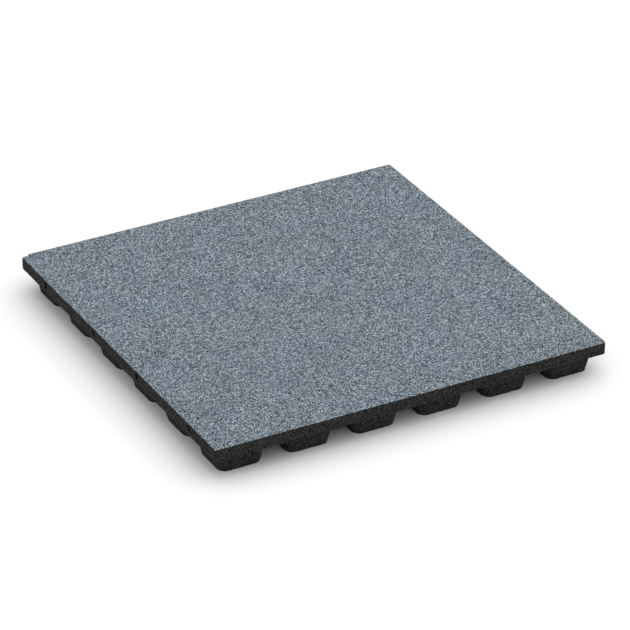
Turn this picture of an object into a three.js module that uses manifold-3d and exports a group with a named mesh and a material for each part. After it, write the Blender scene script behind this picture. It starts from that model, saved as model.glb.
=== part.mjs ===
// Square rubber safety tile: a slab on a grid of square feet, moulded in one piece.
// Millimetres, +Z up. The origin is the middle of the tile, on the ground that the feet stand on.

import * as THREE from 'three';
import { mergeVertices } from 'three/addons/utils/BufferGeometryUtils.js';
import Module from 'manifold-3d';

// Slab
const tileLength = 500; // along X
const tileWidth = 500; // along Y
const slabThickness = 15;
const slabCornerRadius = 3; // in plan
const slabEdgeRounding = 0.4; // along the top and bottom edges

// Feet under the slab, with drainage channels between them
const footColumnCount = 6; // along X
const footRowCount = 6; // along Y
const footHeight = 25;
const columnMargin = 9.3; // from the slab's side to the roots of the outermost column
const columnChannelWidth = 23.2; // between the roots of neighbouring columns
const rowMargin = 10.7; // from the slab's side to the roots of the outermost row, before the rows' shift
const rowChannelWidth = 21.8; // between the roots of neighbouring rows
const footRowShift = 1.1; // of the rows of feet from the middle of the tile, towards -Y
const footDraftDegrees = 9.8;
const footCornerRadius = 10; // in plan
const footRootFillet = 2.5;
const footTipRounding = 0.4;

// Dowel holes in the two sides that face along X
const dowelHoleDiameter = 8.5;
const dowelHoleDepth = 40;
const dowelHoleDrop = 6.5; // from the top face to the hole's axis
const dowelEndDistance = 66.5; // from the tile's corner to the first hole, before the row's shift
const dowelMiddleSpacing = 112; // between the two middle holes
const dowelRowShift = 2.5; // of each row of holes from the middle of its side, towards -Y

// Fineness of the curves
const cornerSegmentPairs = 2; // two pairs make four segments in each corner of an outline
const filletSegments = 2;
const slabRoundingSegments = 2;
const tipRoundingSegments = 1;
const holeSegments = 20;

// Overshoots that keep a join or a cut from ending on a shared face
const joinOverlap = slabThickness / 3;
const cutOvershoot = 2;

const slabBottom = footHeight;
const slabTop = footHeight + slabThickness;
const quarterTurn = Math.PI / 2;

// A rectangle with rounded corners, as points that run anticlockwise seen from above.
// Every call with the same number of segments gives the same number of points.
function roundedRectangle(length, width, radius) {
  const x = length / 2;
  const y = width / 2;
  const outline = new THREE.Shape();
  outline.absarc(x - radius, y - radius, radius, 0, quarterTurn);
  outline.absarc(radius - x, y - radius, radius, quarterTurn, 2 * quarterTurn);
  outline.absarc(radius - x, radius - y, radius, 2 * quarterTurn, 3 * quarterTurn);
  outline.absarc(x - radius, radius - y, radius, 3 * quarterTurn, 4 * quarterTurn);
  return outline.getPoints(cornerSegmentPairs);
}

// A closed body through a stack of like outlines. Each level is { z, points }, from the bottom up.
function loft(levels) {
  const count = levels[0].points.length;
  const positions = levels.flatMap(({ z, points }) => points.flatMap((point) => [point.x, point.y, z]));
  const indices = [];
  for (let level = 0; level < levels.length - 1; level += 1) {
    for (let k = 0; k < count; k += 1) {
      const near = level * count + k;
      const next = level * count + (k + 1) % count;
      indices.push(near, next, next + count, near, next + count, near + count);
    }
  }
  const topStart = (levels.length - 1) * count;
  for (const [a, b, c] of THREE.ShapeUtils.triangulateShape(levels[0].points, [])) {
    indices.push(a, c, b);
    indices.push(topStart + a, topStart + b, topStart + c);
  }
  const geometry = new THREE.BufferGeometry();
  geometry.setAttribute('position', new THREE.Float32BufferAttribute(positions, 3));
  geometry.setIndex(indices);
  return geometry;
}

// The slab: straight sides, with its top and bottom edges rounded by quarter circles.
function slabGeometry() {
  const levels = [];
  const addLevel = (angle, z) => {
    const inset = slabEdgeRounding * (1 - Math.cos(angle));
    const points = roundedRectangle(tileLength - 2 * inset, tileWidth - 2 * inset, slabCornerRadius - inset);
    levels.push({ z, points });
  };
  for (let step = slabRoundingSegments; step >= 0; step -= 1) {
    const angle = quarterTurn * step / slabRoundingSegments;
    addLevel(angle, slabBottom + slabEdgeRounding * (1 - Math.sin(angle)));
  }
  for (let step = 0; step <= slabRoundingSegments; step += 1) {
    const angle = quarterTurn * step / slabRoundingSegments;
    addLevel(angle, slabTop - slabEdgeRounding * (1 - Math.sin(angle)));
  }
  return loft(levels);
}

// One foot: a square stud with rounded corners that narrows towards the ground. Its tip's edge is rounded,
// and a fillet spreads its root into the slab's underside.
function footGeometry(rootLength, rootWidth) {
  const draft = THREE.MathUtils.degToRad(footDraftDegrees);
  const levels = [];
  const insetAt = (z) => (footHeight - z) * Math.tan(draft);
  const addLevel = (inset, z) => {
    const radius = footCornerRadius + insetAt(z) - inset;
    levels.push({ z, points: roundedRectangle(rootLength - 2 * inset, rootWidth - 2 * inset, radius) });
  };

  // The tip's rounding touches the ground and the drafted side.
  const tipReach = footTipRounding * Math.tan((quarterTurn - draft) / 2);
  const tipCentreInset = insetAt(0) + tipReach;
  for (let step = tipRoundingSegments; step >= 0; step -= 1) {
    const angle = draft + (quarterTurn - draft) * step / tipRoundingSegments;
    addLevel(tipCentreInset - footTipRounding * Math.cos(angle), footTipRounding * (1 - Math.sin(angle)));
  }

  // The root's fillet touches the drafted side and the slab's underside.
  const filletReach = footRootFillet * Math.tan((quarterTurn - draft) / 2);
  for (let step = 0; step <= filletSegments; step += 1) {
    const angle = draft + (quarterTurn - draft) * step / filletSegments;
    addLevel(footRootFillet * Math.cos(angle) - filletReach, footHeight - footRootFillet * (1 - Math.sin(angle)));
  }
  levels.push({ z: footHeight + joinOverlap, points: levels.at(-1).points });
  return loft(levels);
}

// A blind round hole's cutter, in from a side of the tile. side is 1 for the +X side and -1 for the -X side.
function dowelHoleGeometry(side, y) {
  const cutLength = dowelHoleDepth + cutOvershoot;
  const cutter = new THREE.CylinderGeometry(
    dowelHoleDiameter / 2, dowelHoleDiameter / 2, cutLength, holeSegments);
  cutter.rotateZ(quarterTurn);
  const middle = tileLength / 2 - dowelHoleDepth + cutLength / 2;
  cutter.translate(side * middle, y, slabTop - dowelHoleDrop);
  return cutter;
}

const wasm = await Module();
wasm.setup();

// The closed solid inside a geometry.
function solidOf(geometry) {
  const bare = geometry.clone();
  bare.deleteAttribute('normal');
  bare.deleteAttribute('uv');
  const merged = mergeVertices(bare);
  return new wasm.Manifold(new wasm.Mesh({
    numProp: 3,
    vertProperties: new Float32Array(merged.attributes.position.array),
    triVerts: new Uint32Array(merged.index.array),
  }));
}

// The geometry of a closed solid.
function geometryOf(solid) {
  const { numProp, vertProperties, triVerts } = solid.getMesh();
  const geometry = new THREE.BufferGeometry();
  geometry.setAttribute('position', new THREE.BufferAttribute(vertProperties, numProp));
  geometry.setIndex(new THREE.BufferAttribute(triVerts, 1));
  geometry.computeVertexNormals();
  return geometry;
}

// The size of one foot's root, and the middles of the feet along one side of the tile.
function feetAlong(sideLength, footCount, margin, channelWidth) {
  const size = (sideLength - 2 * margin - (footCount - 1) * channelWidth) / footCount;
  const middles = [];
  for (let k = 0; k < footCount; k += 1) {
    middles.push(margin + size / 2 + k * (size + channelWidth) - sideLength / 2);
  }
  return { size, middles };
}

function tileGeometry() {
  let tile = solidOf(slabGeometry());
  const columns = feetAlong(tileLength, footColumnCount, columnMargin, columnChannelWidth);
  const rows = feetAlong(tileWidth, footRowCount, rowMargin, rowChannelWidth);
  const foot = footGeometry(columns.size, rows.size);
  for (const x of columns.middles) {
    for (const y of rows.middles) {
      tile = tile.add(solidOf(foot.clone().translate(x, y - footRowShift, 0)));
    }
  }
  const outerOffset = tileWidth / 2 - dowelEndDistance;
  const innerOffset = dowelMiddleSpacing / 2;
  for (const side of [-1, 1]) {
    for (const y of [-outerOffset, -innerOffset, innerOffset, outerOffset]) {
      tile = tile.subtract(solidOf(dowelHoleGeometry(side, y - dowelRowShift)));
    }
  }
  return geometryOf(tile);
}

const charcoalRubber = new THREE.MeshStandardMaterial({ color: 0x3b3d40, roughness: 0.92, metalness: 0 });

const group = new THREE.Group();
const safetyTile = new THREE.Mesh(tileGeometry(), charcoalRubber);
safetyTile.name = 'safety_tile';
group.add(safetyTile);

export default group;
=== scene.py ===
"""Square rubber safety tile of bonded granulate, lying on its own feet.

The tile is one moulded piece: a slab with a slate blue-grey face over charcoal sides, and square feet under
it with drainage channels between them. Dowel holes run into two of the slab's sides. Lengths are in metres,
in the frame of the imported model: +Z is up, the feet stand at zero, and the origin is below the tile's
middle.
"""

import logging
import math
from dataclasses import dataclass
from enum import Enum

import bpy
import numpy as np
from mathutils import Matrix, Vector


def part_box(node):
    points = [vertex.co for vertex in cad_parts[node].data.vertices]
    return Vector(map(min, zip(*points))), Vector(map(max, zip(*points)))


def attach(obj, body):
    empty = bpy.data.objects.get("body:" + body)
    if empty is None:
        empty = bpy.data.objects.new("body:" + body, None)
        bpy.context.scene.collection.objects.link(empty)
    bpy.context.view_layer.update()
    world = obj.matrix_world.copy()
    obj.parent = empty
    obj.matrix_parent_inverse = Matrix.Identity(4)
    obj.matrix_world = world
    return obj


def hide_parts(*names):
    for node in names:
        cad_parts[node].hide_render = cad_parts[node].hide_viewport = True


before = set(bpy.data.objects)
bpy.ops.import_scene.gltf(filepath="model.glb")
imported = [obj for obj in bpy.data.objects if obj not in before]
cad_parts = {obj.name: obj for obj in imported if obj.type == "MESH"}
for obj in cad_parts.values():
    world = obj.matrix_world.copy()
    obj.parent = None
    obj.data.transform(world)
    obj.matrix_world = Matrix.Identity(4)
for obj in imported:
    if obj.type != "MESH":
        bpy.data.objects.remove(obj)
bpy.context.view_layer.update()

MM = 0.001
NODE = "safety_tile"
BODY = "root"
QUARTER_TURN = math.pi / 2
FULL_TURN = 4 * QUARTER_TURN
LOWER_LEFT = 2.5 * QUARTER_TURN  # anticlockwise from the right
TINY = 1e-12  # least length that anything is divided by

Socket = bpy.types.NodeSocket
Colour = tuple[float, float, float]
Span = tuple[float, float]

log = logging.getLogger("tile")


class Side(Enum):
    """The two sides of the slab that have dowel holes, by the sign of their normal along X."""

    MINUS_X = -1
    PLUS_X = 1


# Arrays of points

CELL_PRIMES = (73856093, 19349663, 83492791)
STREAM_PRIME = 2654435761
MIX_PRIMES = (0x85EBCA6B, 0xC2B2AE35)
MIX_SHIFT = 15
LAST_SHIFT = 16
LARGEST_32_BIT = 0xFFFFFFFF


def cell_noise(cells: np.ndarray, stream: int) -> np.ndarray:
    """Gives every cube of space its own repeatable random number.

    Formula: the cube's three numbers and the stream are each multiplied by a large prime and joined by
    exclusive or. Shifts and two more products mix the bits, and the result over the largest 32-bit number
    is the answer.

    Args:
        cells: whole numbers of the cubes, one row of three for each point.
        stream: which of many independent sets of numbers to use.

    Returns:
        One number from 0 to 1 for each row.
    """
    whole = cells.astype(np.uint64)
    mixed = np.full(len(cells), (stream * STREAM_PRIME) & LARGEST_32_BIT, dtype=np.uint64)
    for axis, prime in enumerate(CELL_PRIMES):
        mixed ^= whole[:, axis] * np.uint64(prime)
    mixed &= np.uint64(LARGEST_32_BIT)
    for prime in MIX_PRIMES:
        mixed ^= mixed >> np.uint64(MIX_SHIFT)
        mixed = (mixed * np.uint64(prime)) & np.uint64(LARGEST_32_BIT)
    mixed ^= mixed >> np.uint64(LAST_SHIFT)
    return mixed / float(LARGEST_32_BIT)


@dataclass(frozen=True)
class Granules:
    """Relief that pressed rubber granules leave in a moulded wall.

    Attributes:
        size: width of one granule.
        crevice_depth: depth of the crevice between two granules.
        flat: squared distance from a granule's centre, in granules, up to which it touches the wall.
        pit_depth: depth at which the lowest granules lie.
        pit_power: how rare the low granules are.
        scatter: how far a mesh point may slide along the wall, so that no lattice shows.
        stream: the first of the four sets of random numbers, three for the places and one for the depths.
    """

    size: float = 2.6 * MM
    crevice_depth: float = 0.14 * MM
    flat: float = 0.2
    pit_depth: float = 0.28 * MM
    pit_power: int = 5
    scatter: float = 0.5 * MM
    stream: int = 11

    def depth_below(self, points: np.ndarray) -> np.ndarray:
        """Works out how far the pressed surface lies below the mould's wall.

        Formula: space is cut into cubes of one granule's size, and each holds a granule's centre at a
        random place. The squared distance to the nearest centre, in granules, less the flat part, times the
        crevice depth gives the crevices. That granule's own random number, raised to the pit power, times
        the pit depth sinks a few granules deeper.

        Args:
            points: places on the wall, one row of three for each.

        Returns:
            The depth at each point.
        """
        scaled = points / self.size
        home = np.floor(scaled).astype(np.int64)
        nearest = np.full(len(points), np.inf)
        rank = np.zeros(len(points))
        for step in np.ndindex(3, 3, 3):
            cell = home + np.array(step) - 1
            *place, lowness = (cell_noise(cell, self.stream + number) for number in range(4))
            distance = ((scaled - cell - np.stack(place, axis=1)) ** 2).sum(axis=1)
            closer = distance < nearest
            nearest = np.where(closer, distance, nearest)
            rank = np.where(closer, lowness, rank)
        crevices = self.crevice_depth * np.clip(nearest - self.flat, 0, 1)
        return crevices + self.pit_depth * rank**self.pit_power


def add_object(name: str, data: bpy.types.ID) -> bpy.types.Object:
    """Puts an object in the scene.

    Args:
        name: the object's name.
        data: its mesh, camera or light.

    Returns:
        The new object.
    """
    added = bpy.data.objects.new(name, data)
    bpy.context.scene.collection.objects.link(added)
    return added


@dataclass
class Surface:
    """A closed surface as whole arrays.

    Attributes:
        points: one row of three for each point.
        faces: arrays of point numbers, one row for each face. Each array's faces have the same number of
            corners.
        pressed: how much of the granules' relief each point takes, from 0 to 1.
        free: how much of the granules' scatter each point may slide, from 0 to 1.
        finishes: for each array of faces, the number of the piece's material that it takes.
    """

    points: np.ndarray
    faces: list[np.ndarray]
    pressed: np.ndarray
    free: np.ndarray
    finishes: list[int]

    def normals(self) -> np.ndarray:
        """Works out the outward unit normal at each point.

        Formula: a face's area vector is half the sum of the cross products of its corners with the next
        ones. A point's normal is the sum of its faces' area vectors, made one long.

        Returns:
            One row of three for each point.
        """
        total = np.zeros_like(self.points)
        for faces in self.faces:
            corners = self.points[faces]
            area = np.cross(corners, np.roll(corners, -1, axis=1)).sum(axis=1)
            for column in range(faces.shape[1]):
                for axis in range(3):
                    total[:, axis] += np.bincount(faces[:, column], area[:, axis], len(self.points))
        return total / np.maximum(np.linalg.norm(total, axis=1, keepdims=True), TINY)

    def press(self, granules: Granules, seed: int) -> None:
        """Presses the granules into the surface, which stays inside the mould's box.

        Formula: each point slides along the wall by a random amount up to the granules' scatter, and then
        sinks along the inward normal by the granules' depth at its place.

        Args:
            granules: the relief.
            seed: start of the random slides.
        """
        normals = self.normals()
        low, high = self.points.min(axis=0), self.points.max(axis=0)
        slide = np.random.default_rng(seed).uniform(-1, 1, self.points.shape) * granules.scatter
        slide -= normals * (slide * normals).sum(axis=1, keepdims=True)
        placed = self.points + slide * self.free[:, None]
        sink = granules.depth_below(placed) * self.pressed
        self.points = np.clip(placed - normals * sink[:, None], low, high)

    def piece(self, name: str) -> bpy.types.Object:
        """Makes the surface a mesh object at the origin.

        Args:
            name: the piece's name.

        Returns:
            The new object, shaded smooth.
        """
        used = np.unique(np.concatenate([faces.ravel() for faces in self.faces]))
        renumbered = np.zeros(len(self.points), dtype=np.int32)
        renumbered[used] = np.arange(len(used))
        corners = renumbered[np.concatenate([faces.ravel() for faces in self.faces])]
        sizes = np.concatenate([np.full(len(faces), faces.shape[1]) for faces in self.faces])
        finishes = np.repeat(self.finishes, [len(faces) for faces in self.faces])
        starts = np.concatenate([[0], np.cumsum(sizes)[:-1]])
        mesh = bpy.data.meshes.new(name)
        mesh.vertices.add(len(used))
        mesh.vertices.foreach_set("co", self.points[used].astype(np.float32).ravel())
        mesh.loops.add(len(corners))
        mesh.loops.foreach_set("vertex_index", corners)
        mesh.polygons.add(len(sizes))
        mesh.polygons.foreach_set("loop_start", starts.astype(np.int32))
        mesh.polygons.foreach_set("use_smooth", np.ones(len(sizes), dtype=bool))
        mesh.polygons.foreach_set("material_index", finishes.astype(np.int32))
        mesh.update(calc_edges=True)
        mesh.validate()
        log.info("%s: %d points, %d triangles", name, len(used), (sizes - 2).sum())
        return add_object(name, mesh)


def graded_line(stops: list[float], cell: float) -> np.ndarray:
    """Cuts a line into cells of nearly one length, with a cut at each stop.

    Args:
        stops: places that must be cuts, in rising or falling order.
        cell: the wished length of a cell.

    Returns:
        The places of all the cuts.
    """
    spans = []
    for start, end in zip(stops, stops[1:]):
        count = max(1, round(abs(end - start) / cell))
        spans.append(np.linspace(start, end, count, endpoint=False))
    return np.append(np.concatenate(spans), stops[-1])


def rim_of(index: np.ndarray) -> np.ndarray:
    """The outermost entries of a square array of point numbers, anticlockwise from its first corner."""
    return np.concatenate([index[:-1, 0], index[-1, :-1], index[:0:-1, -1], index[0, :0:-1]])


def grid_faces(index: np.ndarray) -> np.ndarray:
    """The four-cornered faces of a grid of point numbers, facing where its axes turn anticlockwise."""
    corners = [index[:-1, :-1], index[1:, :-1], index[1:, 1:], index[:-1, 1:]]
    return np.stack([corner.ravel() for corner in corners], axis=1)


def band_faces(rings: np.ndarray) -> np.ndarray:
    """The faces between rings of point numbers.

    Args:
        rings: one row for each ring, anticlockwise seen from above, from the top down or from the outside
            in.

    Returns:
        An array of the faces, with one row of the array for each pair of rings.
    """
    turned = np.roll(rings, -1, axis=1)
    return np.stack([rings[:-1], rings[1:], turned[1:], turned[:-1]], axis=2)


# The slab


@dataclass(frozen=True)
class CornerWear:
    """A worn notch that runs down through the slab's far left corner, on its back side.

    Attributes:
        depth: how far the back side is worn in, beside the corner.
        length: how far from the corner the wear is at its full depth.
        end: how far from the corner the wear ends.
        reach: how far into the slab its points shift, so that no face folds over.
        squeeze: share of the corner's rounding that the wear takes away.
    """

    depth: float = 3.7 * MM
    length: float = 8.4 * MM
    end: float = 9.8 * MM
    reach: float = 14 * MM
    squeeze: float = 0.85

    def shift(self, points: np.ndarray, half: float, radius: float) -> np.ndarray:
        """Moves the points beside the corner in along Y.

        Formula: along X the wear is at its full share up to its length and falls to nothing at its end.
        Along Y the side moves in by that share of the depth. The corner's rounding is squeezed behind it,
        and the points from there to the reach close up evenly.

        Args:
            points: the slab's points.
            half: half the slab's side.
            radius: radius of the slab's corner.

        Returns:
            The moved points.
        """
        share = np.clip((self.end - points[:, 0] - half) / (self.end - self.length), 0, 1)
        inward = half - points[:, 1]
        side = self.depth * share
        rim = side + radius * (1 - self.squeeze * share)
        within = side + (rim - side) * inward / radius
        beyond = rim + (self.reach - rim) * (inward - radius) / (self.reach - radius)
        moved = points.copy()
        moved[:, 1] = half - np.where(inward < radius, within, np.where(inward < self.reach, beyond, inward))
        return moved


@dataclass(frozen=True)
class Slab:
    """The slab: a square plate with rounded edges and dowel holes in two sides.

    Attributes:
        side: length of each side.
        bottom: height of the underside.
        top: height of the face.
        corner_radius: radius of the upright corners.
        edge_radius: radius of the edges along the face and the underside.
        cell: length of a mesh cell.
        edge_steps: mesh cells round an edge.
        underside_rim: width of the mesh ring inside the underside's edge.
        hole_radius: radius of a dowel hole.
        hole_drop: distance from the face down to a dowel hole's axis.
        hole_depth: depth of a dowel hole.
        hole_steps: mesh cells along a dowel hole.
        hole_places: places of the holes' axes along Y.
        hole_reach: mesh cells from a hole's axis to its rim.
        hole_shaded_finish: number of the material that the holes' walls take, whose darker tones are painted
            shade.
        wear: the worn corner.
        granules: the relief.
        seed: start of the random slides.
    """

    side: float
    bottom: float
    top: float
    corner_radius: float = 3 * MM
    edge_radius: float = 0.4 * MM
    cell: float = 1.75 * MM
    edge_steps: int = 2
    underside_rim: float = 2 * MM
    hole_radius: float = 4.25 * MM
    hole_drop: float = 6.5 * MM
    hole_depth: float = 40 * MM
    hole_steps: int = 8
    hole_places: tuple[float, ...] = (-186 * MM, -58.5 * MM, 53.5 * MM, 181 * MM)
    hole_reach: int = 2
    hole_shaded_finish: int = 1
    wear: CornerWear = CornerWear()
    granules: Granules = Granules()
    seed: int = 3

    @property
    def half(self) -> float:
        """Half the side."""
        return self.side / 2

    @property
    def hole_height(self) -> float:
        """Height of the holes' axes."""
        return self.top - self.hole_drop

    def line(self) -> np.ndarray:
        """The cuts along each side, with one on each hole's axis."""
        return graded_line([-self.half, *self.hole_places, self.half], self.cell)

    def heights(self) -> np.ndarray:
        """Cuts the straight part of a side, from the top down.

        Returns:
            The heights of the cuts, with one at each end of the holes' cells.
        """
        reach = self.hole_reach * self.cell
        stops = [
            self.top - self.edge_radius,
            self.hole_height + reach,
            self.hole_height - reach,
            self.bottom + self.edge_radius,
        ]
        return graded_line(stops, self.cell)

    def plan(self, square: np.ndarray, inset: float) -> np.ndarray:
        """Places the points of a square in the slab's plan, a given way in from its sides.

        Formula: the square is scaled to the inset outline. Within the corner radius of two sides, a point's
        offset from the corner's centre is scaled by its longer part over its length, which turns the
        squares about that centre into quarter circles.

        Args:
            square: plan points of the whole square, in rows of two.
            inset: distance in from the slab's sides.

        Returns:
            The placed plan points.
        """
        half = self.half - inset
        radius = max(self.corner_radius - inset, self.edge_radius)
        placed = square * (half / self.half)
        centre = np.sign(placed) * (half - radius)
        offset = placed - centre
        in_corner = (np.abs(placed) > half - radius).all(axis=1)
        longer = np.abs(offset).max(axis=1)
        length = np.maximum(np.linalg.norm(offset, axis=1), TINY)
        scale = np.where(in_corner, longer / length, 1)
        return centre + offset * scale[:, None]

    def profile(self) -> list[tuple[float, float]]:
        """Works out the rings from the face's edge down the side and in under the slab.

        Returns:
            The inset and the height of each ring.
        """
        angles = np.linspace(QUARTER_TURN, 0, self.edge_steps + 1)
        insets = self.edge_radius * (1 - np.cos(angles))
        drops = self.edge_radius * (1 - np.sin(angles))
        upper = [(inset, self.top - drop) for inset, drop in zip(insets, drops)]
        straight = [(0.0, height) for height in self.heights()[1:-1]]
        lower = [(inset, self.bottom + drop) for inset, drop in zip(insets[::-1], drops[::-1])]
        return [*upper, *straight, *lower, (self.edge_radius + self.underside_rim, self.bottom)]

    def hole_cells(self, rings: np.ndarray, side: Side, place: float) -> tuple[slice, slice]:
        """Finds the mesh cells that a dowel hole takes up.

        Args:
            rings: point numbers of the slab's rings.
            side: the side that the hole is in.
            place: place of its axis along Y.

        Returns:
            The rows and the columns of the cells' corners in the rings.
        """
        count = rings.shape[1] // 4
        nearest = int(np.argmin(np.abs(self.line() - place)))
        column = count + nearest if side is Side.PLUS_X else 4 * count - nearest
        first = self.edge_steps + int(np.argmin(np.abs(self.heights() - self.hole_height))) - self.hole_reach
        rows = slice(first, first + 2 * self.hole_reach + 1)
        return rows, slice(column - self.hole_reach, column + self.hole_reach + 1)

    def hole(self, points: np.ndarray, loop: np.ndarray, side: Side, place: float) -> tuple[np.ndarray, ...]:
        """Shapes one dowel hole's mouth and makes its wall and end.

        Formula: the mouth's points lie evenly round a circle, anticlockwise seen from outside. The wall
        repeats them at even steps along the axis, and one face closes the end.

        Args:
            points: the slab's points. The mouth's are moved in place.
            loop: point numbers of the mouth, anticlockwise from its lower left corner, seen from outside.
            side: the side that the hole is in.
            place: place of its axis along Y.

        Returns:
            The new points, the wall's faces and the end's face.
        """
        outward = side.value
        angles = LOWER_LEFT + np.arange(len(loop)) * (FULL_TURN / len(loop))
        mouth = np.stack([
            np.full(len(loop), outward * self.half),
            place + outward * self.hole_radius * np.cos(angles),
            self.hole_height + self.hole_radius * np.sin(angles),
        ], axis=1)
        points[loop] = mouth
        depths = np.linspace(0, self.hole_depth, self.hole_steps + 1)[1:]
        wall = mouth[None] - depths[:, None, None] * np.array([outward, 0, 0])
        inner = len(points) + np.arange(wall[..., 0].size).reshape(self.hole_steps, len(loop))
        rings = np.concatenate([loop[None], inner])
        turned = np.roll(rings, -1, axis=1)
        faces = np.stack([rings[:-1], turned[:-1], turned[1:], rings[1:]], axis=2)
        return wall.reshape(-1, 3), faces.reshape(-1, 4), inner[-1:]

    def surface(self) -> Surface:
        """Builds the slab's smooth surface.

        Formula: the face is a square grid. Its rim goes on as rings down the side and in under the slab,
        and one flat face closes the underside. Each dowel hole takes the place of a square block of cells.

        Returns:
            The closed surface.
        """
        line = self.line()
        square = np.stack(np.meshgrid(line, line, indexing="ij"), axis=-1).reshape(-1, 2)
        index = np.arange(len(square)).reshape(len(line), len(line))
        rim = rim_of(index)
        profile = self.profile()
        face = np.column_stack([self.plan(square, self.edge_radius), np.full(len(square), self.top)])
        parts = [face]
        for inset, height in profile[1:]:
            ring = self.plan(square[rim], inset)
            parts.append(np.column_stack([ring, np.full(len(ring), height)]))
        points = self.wear.shift(np.concatenate(parts), self.half, self.corner_radius)
        later = len(face) + np.arange(len(rim) * (len(profile) - 1)).reshape(-1, len(rim))
        rings = np.concatenate([rim[None], later])
        bands = band_faces(rings)
        kept = np.ones(bands.shape[:2], dtype=bool)
        faces, mouths = [], []
        for side in Side:
            for place in self.hole_places:
                rows, columns = self.hole_cells(rings, side, place)
                kept[rows.start:rows.stop - 1, columns.start:columns.stop - 1] = False
                loop = rim_of(rings[rows, columns][::-1].T)
                wall, wall_faces, end_face = self.hole(points, loop, side, place)
                points = np.concatenate([points, wall])
                faces += [wall_faces, end_face]
                mouths += loop.tolist()
        pressed = np.ones(len(points))
        pressed[rings[-1]] = 0
        free = np.zeros(len(points))
        free[index[1:-1, 1:-1]] = 1
        free[rings[self.edge_steps + 1:-self.edge_steps - 2]] = 1
        free[mouths] = 0
        # The holes' walls take the material whose darker tones are painted shade.
        finishes = [self.hole_shaded_finish] * len(faces)
        outer = [grid_faces(index), bands[kept], rings[-1:, ::-1]]
        return Surface(points, faces + outer, pressed, free, finishes + [0] * len(outer))

    def build(self) -> bpy.types.Object:
        """Makes the slab's piece.

        Returns:
            The new object.
        """
        surface = self.surface()
        surface.press(self.granules, self.seed)
        return surface.piece("tile_slab")


# The feet


@dataclass(frozen=True)
class Spacing:
    """How the feet are spaced in one direction.

    Attributes:
        margin: distance from the tile's side to the root of the outermost feet, before the shift.
        channel: distance between the roots of two feet.
        shift: how far all the feet are shifted.
        count: how many feet stand side by side.
    """

    margin: float
    channel: float
    shift: float = 0.0
    count: int = 6

    def root(self, side: float) -> float:
        """Width of a foot at the slab's underside, without the fillet, on a tile of that side."""
        return (side - 2 * self.margin - (self.count - 1) * self.channel) / self.count

    def middles(self, side: float) -> np.ndarray:
        """Places the feet's middles.

        Args:
            side: length of the tile's side.

        Returns:
            The places, from the middle of the tile.
        """
        root = self.root(side)
        steps = np.arange(self.count) * (root + self.channel)
        return self.margin + root / 2 + steps - side / 2 + self.shift


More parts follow.
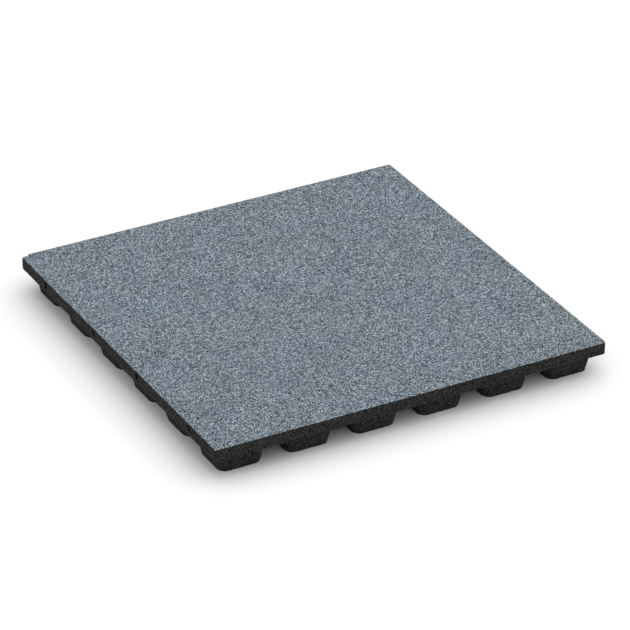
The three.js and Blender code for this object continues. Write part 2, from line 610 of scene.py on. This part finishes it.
@dataclass(frozen=True)
class Feet:
    """The feet: nearly square studs with rounded corners that narrow towards the ground.

    Attributes:
        side: length of the tile's side.
        height: height of the feet, up to the slab's underside.
        columns: how the feet are spaced along X.
        rows: how the feet are spaced along Y.
        draft: how far a foot's side leans from upright, in radians.
        corner_radius: radius of the upright corners.
        root_fillet: radius of the fillet at the slab's underside.
        tip_radius: radius of the edge round the tip.
        embed: how far a foot reaches up into the slab.
        cells: mesh cells along each side of a foot.
        cell: length of a mesh cell up a foot's side.
        fillet_steps: mesh cells round the fillet.
        tip_steps: mesh cells round the tip's edge.
        granules: the relief.
        seed: start of the random slides.
    """

    side: float
    height: float
    columns: Spacing = Spacing(9.3 * MM, 23.2 * MM)
    rows: Spacing = Spacing(10.7 * MM, 21.8 * MM, -1.1 * MM)
    draft: float = math.radians(9.8)
    corner_radius: float = 10 * MM
    root_fillet: float = 2.5 * MM
    tip_radius: float = 0.4 * MM
    embed: float = 1.5 * MM
    cells: int = 26
    cell: float = 1.9 * MM
    fillet_steps: int = 3
    tip_steps: int = 2
    granules: Granules = Granules(stream=29)
    seed: int = 5

    def inset_at(self, height: np.ndarray | float) -> np.ndarray | float:
        """How far the leaning side lies in from the root at a height."""
        return (self.height - height) * math.tan(self.draft)

    def profile(self) -> np.ndarray:
        """Works out the rings of a foot from the top down.

        Formula: the fillet is an arc that touches the slab's underside and the leaning side. The side is
        straight down to the tip's edge, which is an arc that touches the side and the ground.

        Returns:
            The inset from the root and the height of each ring, in rows of two.
        """
        touch = math.tan((QUARTER_TURN - self.draft) / 2)
        turn = np.linspace(QUARTER_TURN, self.draft, self.fillet_steps + 1)
        fillet_insets = self.root_fillet * (np.cos(turn) - touch)
        fillet_heights = self.height - self.root_fillet * (1 - np.sin(turn))
        turn = np.linspace(self.draft, QUARTER_TURN, self.tip_steps + 1)
        tip_insets = self.inset_at(0) + self.tip_radius * (touch - np.cos(turn))
        tip_heights = self.tip_radius * (1 - np.sin(turn))
        straight = graded_line([fillet_heights[-1], tip_heights[0]], self.cell)[1:-1]
        top = (fillet_insets[0], self.height + self.embed)
        insets = np.concatenate([[top[0]], fillet_insets, self.inset_at(straight), tip_insets])
        heights = np.concatenate([[top[1]], fillet_heights, straight, tip_heights])
        return np.stack([insets, heights], axis=1)

    def ring(self, inset: float, height: float) -> np.ndarray:
        """Places one ring of a foot about the foot's middle.

        Formula: the outline is a square with quarter circles at its corners. Each of its four stretches
        runs from the middle of one corner's arc to the middle of the next, and its points are evenly spaced
        along it. The square has the size of the columns' feet, and is stretched along Y to the size of the
        rows' feet.

        Args:
            inset: distance in from the root's sides.
            height: height of the ring.

        Returns:
            The points, anticlockwise seen from above, in rows of three.
        """
        root = self.columns.root(self.side)
        half = root / 2 - inset
        radius = self.corner_radius + float(self.inset_at(min(height, self.height))) - inset
        straight = 2 * (half - radius)
        half_arc = radius * QUARTER_TURN / 2
        way = np.arange(self.cells) / self.cells * (straight + 2 * half_arc)
        first = np.minimum(way - half_arc, 0) / radius
        last = np.maximum(way - half_arc - straight, 0) / radius
        along = np.clip(way - half_arc, 0, straight) - straight / 2
        along = along + radius * (np.sin(first) + np.sin(last))
        across = -(half - radius) - radius * np.minimum(np.cos(first), np.cos(last))
        stretches = []
        for quarter in range(4):
            cosine, sine = math.cos(quarter * QUARTER_TURN), math.sin(quarter * QUARTER_TURN)
            turned = [along * cosine - across * sine, along * sine + across * cosine]
            stretches.append(np.stack(turned, axis=1))
        plan = np.concatenate(stretches) * (1, self.rows.root(self.side) / root)
        return np.column_stack([plan, np.full(len(plan), height)])

    def tip(self, ring: np.ndarray) -> np.ndarray:
        """Fills the flat tip of a foot with a grid of points.

        Formula: a point of the grid is the blend of the two rim points across one way, plus the blend of
        the two across the other way, less the blend of the four corners.

        Args:
            ring: the tip's outermost ring.

        Returns:
            The grid's inner points, in a square array.
        """
        count = self.cells
        closed = np.concatenate([ring, ring[:1]])
        low, right = closed[:count + 1], closed[count:2 * count + 1]
        high, left = closed[2 * count:3 * count + 1][::-1], closed[3 * count:][::-1]
        share = np.linspace(0, 1, count + 1)
        u, v = share[:, None, None], share[None, :, None]
        blend = (1 - v) * low[:, None] + v * high[:, None] + (1 - u) * left[None] + u * right[None]
        corners = (1 - u) * (1 - v) * low[0] + u * (1 - v) * low[-1]
        corners = corners + u * v * high[-1] + (1 - u) * v * high[0]
        return (blend - corners)[1:-1, 1:-1]

    def surface(self) -> Surface:
        """Builds the smooth surfaces of all the feet.

        Formula: one foot is a stack of rings, closed by a flat face inside the slab and by a grid at its
        tip. The others are copies of it on the grid of middles.

        Returns:
            The closed surfaces.
        """
        rings = [self.ring(inset, height) for inset, height in self.profile()]
        inner = self.tip(rings[-1])
        foot = np.concatenate([*rings, inner.reshape(-1, 3)])
        ring_index = np.arange(len(rings) * 4 * self.cells).reshape(len(rings), -1)
        index = np.zeros((self.cells + 1, self.cells + 1), dtype=int)
        index[1:-1, 1:-1] = ring_index.size + np.arange(inner[..., 0].size).reshape(inner.shape[:2])
        rim_places = (np.s_[:-1, 0], np.s_[-1, :-1], np.s_[:0:-1, -1], np.s_[0, :0:-1])
        for place, stretch in zip(rim_places, np.split(ring_index[-1], len(rim_places))):
            index[place] = stretch
        walls = np.concatenate([band_faces(ring_index).reshape(-1, 4), grid_faces(index)[:, ::-1]])
        lid = ring_index[:1]
        across, along = self.columns.middles(self.side), self.rows.middles(self.side)
        middles = np.stack(np.meshgrid(across, along, [0.0], indexing="ij"), axis=-1).reshape(-1, 3)
        starts = np.arange(len(middles))[:, None, None] * len(foot)
        pressed = np.ones(len(foot))
        pressed[lid] = 0
        free = np.ones(len(foot))
        free[ring_index[:2]] = 0
        free[ring_index[-1 - self.tip_steps:]] = 0
        points = (middles[:, None] + foot[None]).reshape(-1, 3)
        faces = [(faces[None] + starts).reshape(-1, faces.shape[1]) for faces in (walls, lid)]
        return Surface(points, faces, np.tile(pressed, len(middles)), np.tile(free, len(middles)), [0, 0])

    def build(self) -> bpy.types.Object:
        """Makes the feet's piece.

        Returns:
            The new object.
        """
        surface = self.surface()
        surface.press(self.granules, self.seed)
        return surface.piece("tile_feet")


# Finishes


def socket_named(sockets: bpy.types.bpy_prop_collection, name: str) -> Socket:
    """The socket of that name that is in use, because a Mix node has several of one name."""
    return next(socket for socket in sockets if socket.name == name and socket.enabled)


class Nodes:
    """Adds and joins shader nodes in one material or node group."""

    def __init__(self, tree: bpy.types.NodeTree) -> None:
        """Starts on an emptied tree."""
        self.tree = tree
        tree.nodes.clear()

    def add(
        self, kind: str, inputs: dict[str | int, object] | None = None, **settings: object
    ) -> bpy.types.Node:
        """Adds a node.

        Args:
            kind: the node's type, without its leading word ShaderNode.
            inputs: for each input's name or number, a number or colour, or the output that feeds it.
            settings: the node's own properties.

        Returns:
            The node.
        """
        node = self.tree.nodes.new("ShaderNode" + kind)
        for name, value in settings.items():
            setattr(node, name, value)
        for name, value in (inputs or {}).items():
            socket = node.inputs[name] if isinstance(name, int) else socket_named(node.inputs, name)
            if isinstance(value, Socket):
                self.tree.links.new(value, socket)
            else:
                socket.default_value = value
        return node

    def math(self, operation: str, *values: object, clamp: bool = False) -> Socket:
        """Adds a Math node and gives its result."""
        return self.add("Math", dict(enumerate(values)), operation=operation, use_clamp=clamp).outputs[0]

    def vector(self, operation: str, *values: object, output: str = "Vector") -> Socket:
        """Adds a Vector Math node and gives its result."""
        return self.add("VectorMath", dict(enumerate(values)), operation=operation).outputs[output]

    def mix(self, factor: object, first: object, second: object, blend: str = "MIX") -> Socket:
        """Adds a colour mix.

        Args:
            factor: share of the second colour.
            first: a colour, or the output that feeds it.
            second: the same for the second colour.
            blend: how the colours are joined.

        Returns:
            The mixed colour.
        """
        inputs = {"Factor": factor, "A": as_rgba(first), "B": as_rgba(second)}
        node = self.add("Mix", inputs, data_type="RGBA", blend_type=blend)
        return socket_named(node.outputs, "Result")

    def span(self, value: object, source: Span, target: Span, kind: str = "LINEAR") -> Socket:
        """Adds a Map Range node from one span to another and gives its result."""
        ends = dict(zip(("From Min", "From Max", "To Min", "To Max"), (*source, *target)))
        return self.add("MapRange", {"Value": value, **ends}, interpolation_type=kind).outputs["Result"]

    def ramp(self, factor: Socket, colours: tuple[Colour, ...]) -> Socket:
        """Adds a colour ramp.

        Args:
            factor: place on the ramp.
            colours: colours at even steps along it.

        Returns:
            The ramp's colour.
        """
        node = self.add("ValToRGB", {"Fac": factor})
        elements = node.color_ramp.elements
        while len(elements) < len(colours):
            elements.new(position=0.5)
        for element, place, colour in zip(elements, np.linspace(0, 1, len(colours)), colours):
            element.position = float(place)
            element.color = as_rgba(colour)
        return node.outputs["Color"]

    def shade(self, inputs: dict[str | int, object]) -> None:
        """Ends a material's nodes with a Principled shader that has these inputs."""
        shader = self.add("BsdfPrincipled", inputs)
        self.add("OutputMaterial", {"Surface": shader.outputs["BSDF"]})


def new_material(name: str) -> tuple[bpy.types.Material, Nodes]:
    """Makes a material without nodes.

    Args:
        name: the material's name.

    Returns:
        The material and what adds nodes to it.
    """
    material = bpy.data.materials.new(name)
    material.use_nodes = True
    return material, Nodes(material.node_tree)


def as_rgba(colour: object) -> object:
    """A colour of three numbers with full alpha. Anything else, such as a socket, is given back as it is."""
    return (*colour, 1.0) if isinstance(colour, tuple) and len(colour) == 3 else colour


TOP_LEVEL = 255
DARK_END = 0.04045  # share of the top level up to which the display is straight
DARK_SLOPE = 12.92
CURVE_SHIFT = 0.055
CURVE_POWER = 2.4


def linear(*levels: float) -> Colour:
    """Turns display levels into linear colour.

    Formula: a level's share of the top level is divided by the dark slope, up to the dark end. Above it the
    curve's shift is added, the sum is divided by one plus the shift, and the result is raised to the
    curve's power.

    Args:
        levels: red, green and blue, from 0 to the top level.

    Returns:
        The linear colour.
    """
    shares = np.array(levels) / TOP_LEVEL
    curved = ((shares + CURVE_SHIFT) / (1 + CURVE_SHIFT)) ** CURVE_POWER
    return tuple(np.where(shares <= DARK_END, shares / DARK_SLOPE, curved).tolist())


class Group:
    """A node group that turns a place on the tile and a width into numbers."""

    def __init__(self, name: str) -> None:
        """Starts the group with its two inputs.

        Args:
            name: the group's name.
        """
        self.tree = bpy.data.node_groups.new(name, "ShaderNodeTree")
        self.tree.interface.new_socket(name="Position", in_out="INPUT", socket_type="NodeSocketVector")
        self.tree.interface.new_socket(name="Width", in_out="INPUT", socket_type="NodeSocketFloat")
        self.nodes = Nodes(self.tree)
        given = self.tree.nodes.new("NodeGroupInput")
        self.position = given.outputs["Position"]
        self.scale = self.nodes.math("DIVIDE", 1.0, given.outputs["Width"])

    def give(self, results: dict[str, Socket]) -> None:
        """Makes each result an output of the group.

        Args:
            results: the outputs' names and what feeds them.
        """
        for name in results:
            self.tree.interface.new_socket(name=name, in_out="OUTPUT", socket_type="NodeSocketFloat")
        last = self.tree.nodes.new("NodeGroupOutput")
        for name, result in results.items():
            self.tree.links.new(result, last.inputs[name])

    def use(self, nodes: Nodes, position: Socket, width: float) -> bpy.types.NodeOutputs:
        """Puts the group into a material.

        Args:
            nodes: the material's nodes.
            position: the place on the tile, in metres.
            width: width of one granule or cloud.

        Returns:
            The group's outputs.
        """
        return nodes.add("Group", {"Position": position, "Width": width}, node_tree=self.tree).outputs


CREVICE_HALF_WIDTH = 0.14  # in granules
CREVICE_SHARE = 0.5  # of the crevices in the height
LIFT_SHARE = 0.5  # of the lift in the height


def granule_pattern() -> Group:
    """Makes the node group of single granules, which both finishes use.

    Formula: a cell pattern gives each granule random numbers, its tone, its jitter and its lift. The
    distance to the edge between two granules gives the crevices. The height is a dome over each granule
    plus half its lift, less half the crevice.

    Returns:
        The group.
    """
    group = Group("granule_pattern")
    nodes = group.nodes
    place = {"Vector": group.position, "Scale": group.scale}
    cells = nodes.add("TexVoronoi", place)
    edges = nodes.add("TexVoronoi", place, feature="DISTANCE_TO_EDGE")
    random = nodes.add("SeparateColor", {"Color": cells.outputs["Color"]}).outputs
    crevice = nodes.span(edges.outputs["Distance"], (0.0, CREVICE_HALF_WIDTH), (1.0, 0.0))
    dome = nodes.math("SUBTRACT", 1.0, cells.outputs["Distance"], clamp=True)
    lifted = nodes.math("MULTIPLY_ADD", random["Blue"], LIFT_SHARE, dome)
    height = nodes.math("MULTIPLY_ADD", crevice, -CREVICE_SHARE, lifted)
    group.give({"Tone": random["Red"], "Jitter": random["Green"], "Crevice": crevice, "Height": height})
    return group


CLOUD_SHAPE = {"Detail": 3.0, "Roughness": 0.55}
CLOUD_SPAN = (0.25, 0.75)  # of the noise, spread over 0 to 1
CLOUDS_APART = (3.7, 1.9, 0.6)


def soft_mottle() -> Group:
    """Makes the node group of slow, soft changes, which both finishes use.

    Formula: two cloud noises, read at places far apart, give the shade and the warmth. Each is 0 to 1 about
    a half.

    Returns:
        The group.
    """
    group = Group("soft_mottle")
    nodes = group.nodes
    far = nodes.vector("ADD", group.position, CLOUDS_APART)
    clouds = []
    for place in (group.position, far):
        noise = nodes.add("TexNoise", {"Vector": place, "Scale": group.scale, **CLOUD_SHAPE})
        clouds.append(nodes.span(noise.outputs["Fac"], CLOUD_SPAN, (0.0, 1.0)))
    group.give({"Shade": clouds[0], "Warmth": clouds[1]})
    return group


@dataclass(frozen=True)
class Stain:
    """A faint stain on the face.

    Attributes:
        centre: its middle, along X and Y.
        radii: its reach along X and Y.
        strength: how much of the stain's tint shows at its middle.
    """

    centre: tuple[float, float]
    radii: tuple[float, float]
    strength: float

    def share(self, nodes: Nodes, position: Socket) -> Socket:
        """Works out how much of the tint shows.

        Formula: it is the strength at the middle, and falls smoothly to nothing at the stain's reach.

        Args:
            nodes: the material's nodes.
            position: the place on the tile.

        Returns:
            The tint's share.
        """
        offset = nodes.vector("SUBTRACT", position, (*self.centre, 0.0))
        scaled = nodes.vector("MULTIPLY", offset, (1 / self.radii[0], 1 / self.radii[1], 0.0))
        away = nodes.vector("LENGTH", scaled, output="Value")
        return nodes.span(away, (0.0, 1.0), (self.strength, 0.0), "SMOOTHSTEP")


@dataclass(frozen=True)
class Face:
    """The slate blue-grey of the slab's face, which ends at the face's edges.

    Attributes:
        half: half the slab's side.
        height: height of the face.
        depth: how deep the colour reaches in a worn corner.
        ragged: how far the colour's end strays from granule to granule.
        tones: tones of the granules, from the darkest to the lightest.
        stains: stains on the face.
        stain_tint: what a stain multiplies the colour by.
    """

    half: float
    height: float
    depth: float = 1 * MM
    ragged: float = 0.25 * MM
    tones: tuple[Colour, ...] = (
        linear(22, 35, 47),
        linear(85, 98, 110),
        linear(129, 142, 154),
        linear(211, 223, 231),
    )
    stains: tuple[Stain, ...] = (
        Stain((-173 * MM, -215 * MM), (20 * MM, 46 * MM), 0.9),
        Stain((-166 * MM, 207 * MM), (26 * MM, 26 * MM), 0.8),
        Stain((-130 * MM, 240 * MM), (56 * MM, 16 * MM), 0.6),
        Stain((-105 * MM, 150 * MM), (26 * MM, 64 * MM), 0.4),
        Stain((247 * MM, -122 * MM), (16 * MM, 46 * MM), 0.8),
        Stain((247 * MM, -200 * MM), (14 * MM, 72 * MM), 0.8),
        Stain((247 * MM, 8 * MM), (12 * MM, 64 * MM), 0.6),
        Stain((246 * MM, 200 * MM), (16 * MM, 56 * MM), 0.7),
        Stain((-246 * MM, 156 * MM), (9 * MM, 26 * MM), 0.7),
    )
    stain_tint: Colour = (1.06, 1.0, 0.88)

    def mask(self, nodes: Nodes, position: Socket, jitter: Socket) -> Socket:
        """Works out where the face's colour lies.

        Formula: the drop is how far a place lies below the face, and the inset is how far it lies in from
        the nearest side. The colour lies where the inset less the drop is above a random part of the
        raggedness, and only where the drop is less than the depth.

        Args:
            nodes: the material's nodes.
            position: the place on the tile.
            jitter: each granule's random number.

        Returns:
            1 where the colour lies, and 0 elsewhere.
        """
        parts = nodes.add("SeparateXYZ", {"Vector": nodes.vector("ABSOLUTE", position)}).outputs
        inset = nodes.math("SUBTRACT", self.half, nodes.math("MAXIMUM", parts["X"], parts["Y"]))
        drop = nodes.math("SUBTRACT", self.height, parts["Z"])
        stray = nodes.math("MULTIPLY_ADD", jitter, self.ragged, -self.ragged / 2)
        within = nodes.math("GREATER_THAN", nodes.math("SUBTRACT", inset, drop), stray)
        return nodes.math("MULTIPLY", within, nodes.math("LESS_THAN", drop, self.depth))

    def stained(self, nodes: Nodes, position: Socket, colour: Socket) -> Socket:
        """Lays the stains over the face's colour.

        Args:
            nodes: the material's nodes.
            position: the place on the tile.
            colour: the colour without stains.

        Returns:
            The colour with them.
        """
        for stain in self.stains:
            colour = nodes.mix(stain.share(nodes, position), colour, self.stain_tint, "MULTIPLY")
        return colour


@dataclass(frozen=True)
class Granulate:
    """The finish of bonded rubber granulate, charcoal all through.

    Attributes:
        width: width of one granule of the fine pattern.
        cloud_width: width of the slow changes.
        tones: tones of the charcoal granules, from the darkest to the lightest.
        crevice_shade: share of the colour that is left in the crevices, as painted shade.
        bump: height of the fine pattern's relief.
        shade: least and greatest share of the colour in the slow changes.
        cool: what the coolest places multiply the colour by.
        warm: what the warmest places multiply the colour by.
        roughness: least and greatest roughness of a granule.
        specular: strength of the reflection.
    """

    width: float = 1 * MM
    cloud_width: float = 60 * MM
    tones: tuple[Colour, ...] = (linear(12, 13, 13), linear(40, 41, 40), linear(78, 78, 76))
    crevice_shade: float = 0.6
    bump: float = 0.3 * MM
    shade: Span = (0.95, 1.05)
    cool: Colour = (0.975, 1.0, 1.02)
    warm: Colour = (1.025, 1.0, 0.98)
    roughness: Span = (0.8, 0.98)
    specular: float = 0.08

    def granules(
        self, nodes: Nodes, pattern: bpy.types.NodeOutputs, tones: tuple[Colour, ...]
    ) -> Socket:
        """Works out the colour of the granules, with painted shade in the crevices between them.

        Args:
            nodes: the material's nodes.
            pattern: the outputs of the pattern of single granules.
            tones: tones of the granules, from the darkest to the lightest.

        Returns:
            The colour.
        """
        colour = nodes.ramp(pattern["Tone"], tones)
        shaded = nodes.mix(1.0, colour, (self.crevice_shade,) * 3, "MULTIPLY")
        return nodes.mix(pattern["Crevice"], colour, shaded)

    def mottled(self, nodes: Nodes, clouds: bpy.types.NodeOutputs, colour: Socket) -> Socket:
        """Lays the slow changes of shade and warmth over a colour.

        Args:
            nodes: the material's nodes.
            clouds: the outputs of the slow changes.
            colour: the colour without them.

        Returns:
            The colour with them.
        """
        shade = nodes.span(clouds["Shade"], (0.0, 1.0), self.shade)
        tint = nodes.mix(clouds["Warmth"], self.cool, self.warm)
        shaded = nodes.add("VectorMath", {0: tint, "Scale": shade}, operation="SCALE").outputs["Vector"]
        return nodes.mix(1.0, colour, shaded, "MULTIPLY")

    def material(
        self, name: str, pattern: Group, mottle: Group, face: Face | None = None
    ) -> bpy.types.Material:
        """Makes the material.

        Args:
            name: the material's name.
            pattern: the node group of single granules.
            mottle: the node group of slow changes.
            face: the coloured face, or nothing for charcoal alone.

        Returns:
            The material.
        """
        material, nodes = new_material(name)
        position = nodes.add("TexCoord").outputs["Object"]
        granules = pattern.use(nodes, position, self.width)
        clouds = mottle.use(nodes, position, self.cloud_width)
        colour = self.granules(nodes, granules, self.tones)
        if face is not None:
            slate = face.stained(nodes, position, self.granules(nodes, granules, face.tones))
            colour = nodes.mix(face.mask(nodes, position, granules["Jitter"]), colour, slate)
        bump = nodes.add("Bump", {"Height": granules["Height"], "Distance": self.bump, "Strength": 1.0})
        nodes.shade({
            "Base Color": self.mottled(nodes, clouds, colour),
            "Roughness": nodes.span(granules["Jitter"], (0.0, 1.0), self.roughness),
            "Normal": bump.outputs["Normal"],
            "Specular IOR Level": self.specular,
        })
        return material


# Camera and studio


@dataclass(frozen=True)
class Viewpoint:
    """The photographer's camera, worked out from the four edges of the tile's face.

    Attributes:
        azimuth: angle round the tile, in degrees. At 0 the camera looks along +Y.
        elevation: angle above the horizon, in degrees.
        roll: turn of the picture about the line of sight, in degrees.
        distance: distance to the aim.
        aim: point that the line of sight meets at the height of the tile's face.
        lens: focal length in millimetres.
        sensor: width of the picture on the sensor, in millimetres.
        clip: nearest and farthest distance that the camera sees.
    """

    azimuth: float = -28.715
    elevation: float = 29.473
    roll: float = 0.258
    distance: float = 4599.2 * MM
    aim: tuple[float, float, float] = (-11.62 * MM, -38.31 * MM, 40 * MM)
    lens: float = 228.71
    sensor: float = 36.0
    clip: Span = (0.1, 100.0)

    def build(self) -> None:
        """Makes the camera and puts it in use."""
        around, up = math.radians(self.azimuth), math.radians(self.elevation)
        back = Vector((math.sin(around) * math.cos(up), -math.cos(around) * math.cos(up), math.sin(up)))
        data = bpy.data.cameras.new("camera")
        data.sensor_fit = "HORIZONTAL"
        data.sensor_width = self.sensor
        data.lens = self.lens
        data.clip_start, data.clip_end = self.clip
        camera = add_object("camera", data)
        turn = back.to_track_quat("Z", "Y").to_matrix().to_4x4()
        rolled = turn @ Matrix.Rotation(math.radians(self.roll), 4, "Z")
        camera.matrix_world = Matrix.Translation(Vector(self.aim) + back * self.distance) @ rolled
        bpy.context.scene.camera = camera


@dataclass(frozen=True)
class Studio:
    """A white floor under plain soft light.

    Attributes:
        floor_side: length of the floor's sides.
        floor_colour: colour of the floor.
        floor_roughness: roughness of the floor.
        floor_specular: strength of the floor's reflection.
        sky_colour: colour of the light from all round.
        sky_strength: strength of the light from all round.
        key_strength: strength of the soft light from behind the tile.
        key_angle: apparent width of that light, in degrees.
        key_azimuth: direction that it comes from, anticlockwise from +X, in degrees.
        key_elevation: its height above the horizon, in degrees.
    """

    floor_side: float = 40.0
    floor_colour: Colour = (0.9, 0.9, 0.9)
    floor_roughness: float = 0.9
    floor_specular: float = 0.1
    sky_colour: Colour = (1.0, 1.0, 1.0)
    sky_strength: float = 0.884
    key_strength: float = 1.2
    key_angle: float = 95.0
    key_azimuth: float = 20.0
    key_elevation: float = 60.0

    def floor(self) -> None:
        """Lays the floor, which isn't part of the tile."""
        half = self.floor_side / 2
        mesh = bpy.data.meshes.new("floor")
        corners = [(-half, -half, 0), (half, -half, 0), (half, half, 0), (-half, half, 0)]
        mesh.from_pydata(corners, [], [(0, 1, 2, 3)])
        floor = add_object("floor", mesh)
        material, nodes = new_material("floor")
        nodes.shade({
            "Base Color": as_rgba(self.floor_colour),
            "Roughness": self.floor_roughness,
            "Specular IOR Level": self.floor_specular,
        })
        mesh.materials.append(material)

    def sky(self) -> None:
        """Sets the even light from all round."""
        world = bpy.data.worlds.new("studio")
        world.use_nodes = True
        background = world.node_tree.nodes["Background"]
        background.inputs["Color"].default_value = as_rgba(self.sky_colour)
        background.inputs["Strength"].default_value = self.sky_strength
        bpy.context.scene.world = world

    def key(self) -> None:
        """Hangs the wide soft light behind the tile."""
        around, up = math.radians(self.key_azimuth), math.radians(self.key_elevation)
        towards = Vector((math.cos(around) * math.cos(up), math.sin(around) * math.cos(up), math.sin(up)))
        data = bpy.data.lights.new("key", "SUN")
        data.energy = self.key_strength
        data.angle = math.radians(self.key_angle)
        light = add_object("key", data)
        light.matrix_world = towards.to_track_quat("Z", "Y").to_matrix().to_4x4()

    def build(self) -> None:
        """Sets up the floor, the light and plain display colours."""
        self.floor()
        self.sky()
        self.key()
        bpy.context.scene.view_settings.view_transform = "Standard"


@dataclass(frozen=True)
class Tile:
    """The whole tile: the slab and its feet, which ride on the one body and stand for the one solid.

    Attributes:
        foot_height: height of the feet.
        finish: the granulate.
        hole_shaded_finish: the granulate of the dowel holes' walls, in darker tones that are painted shade
            in the holes.
    """

    foot_height: float = 25 * MM
    finish: Granulate = Granulate()
    # Darker charcoal tones for the holes' walls: painted shade in the holes.
    hole_shaded_finish: Granulate = Granulate(tones=(linear(12, 12, 13), linear(35, 36, 36), linear(66, 66, 65)))

    def build(self) -> None:
        """Builds, dresses and mounts the pieces."""
        low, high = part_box(NODE)
        side = high.x - low.x
        pattern, mottle = granule_pattern(), soft_mottle()
        slab = Slab(side, low.z + self.foot_height, high.z).build()
        face = Face(side / 2, high.z)
        slab.data.materials.append(self.finish.material("faced_granulate", pattern, mottle, face))
        slab.data.materials.append(self.hole_shaded_finish.material("hole_granulate_painted_shade", pattern, mottle))
        feet = Feet(side, self.foot_height).build()
        feet.data.materials.append(self.finish.material("charcoal_granulate", pattern, mottle))
        for piece in (slab, feet):
            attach(piece, BODY)
            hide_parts(NODE)


def main() -> None:
    """Builds the camera, the studio and the tile."""
    logging.basicConfig(level=logging.INFO, format="%(name)s: %(message)s")
    Viewpoint().build()
    Studio().build()
    Tile().build()


if __name__ == "__main__":
    main()
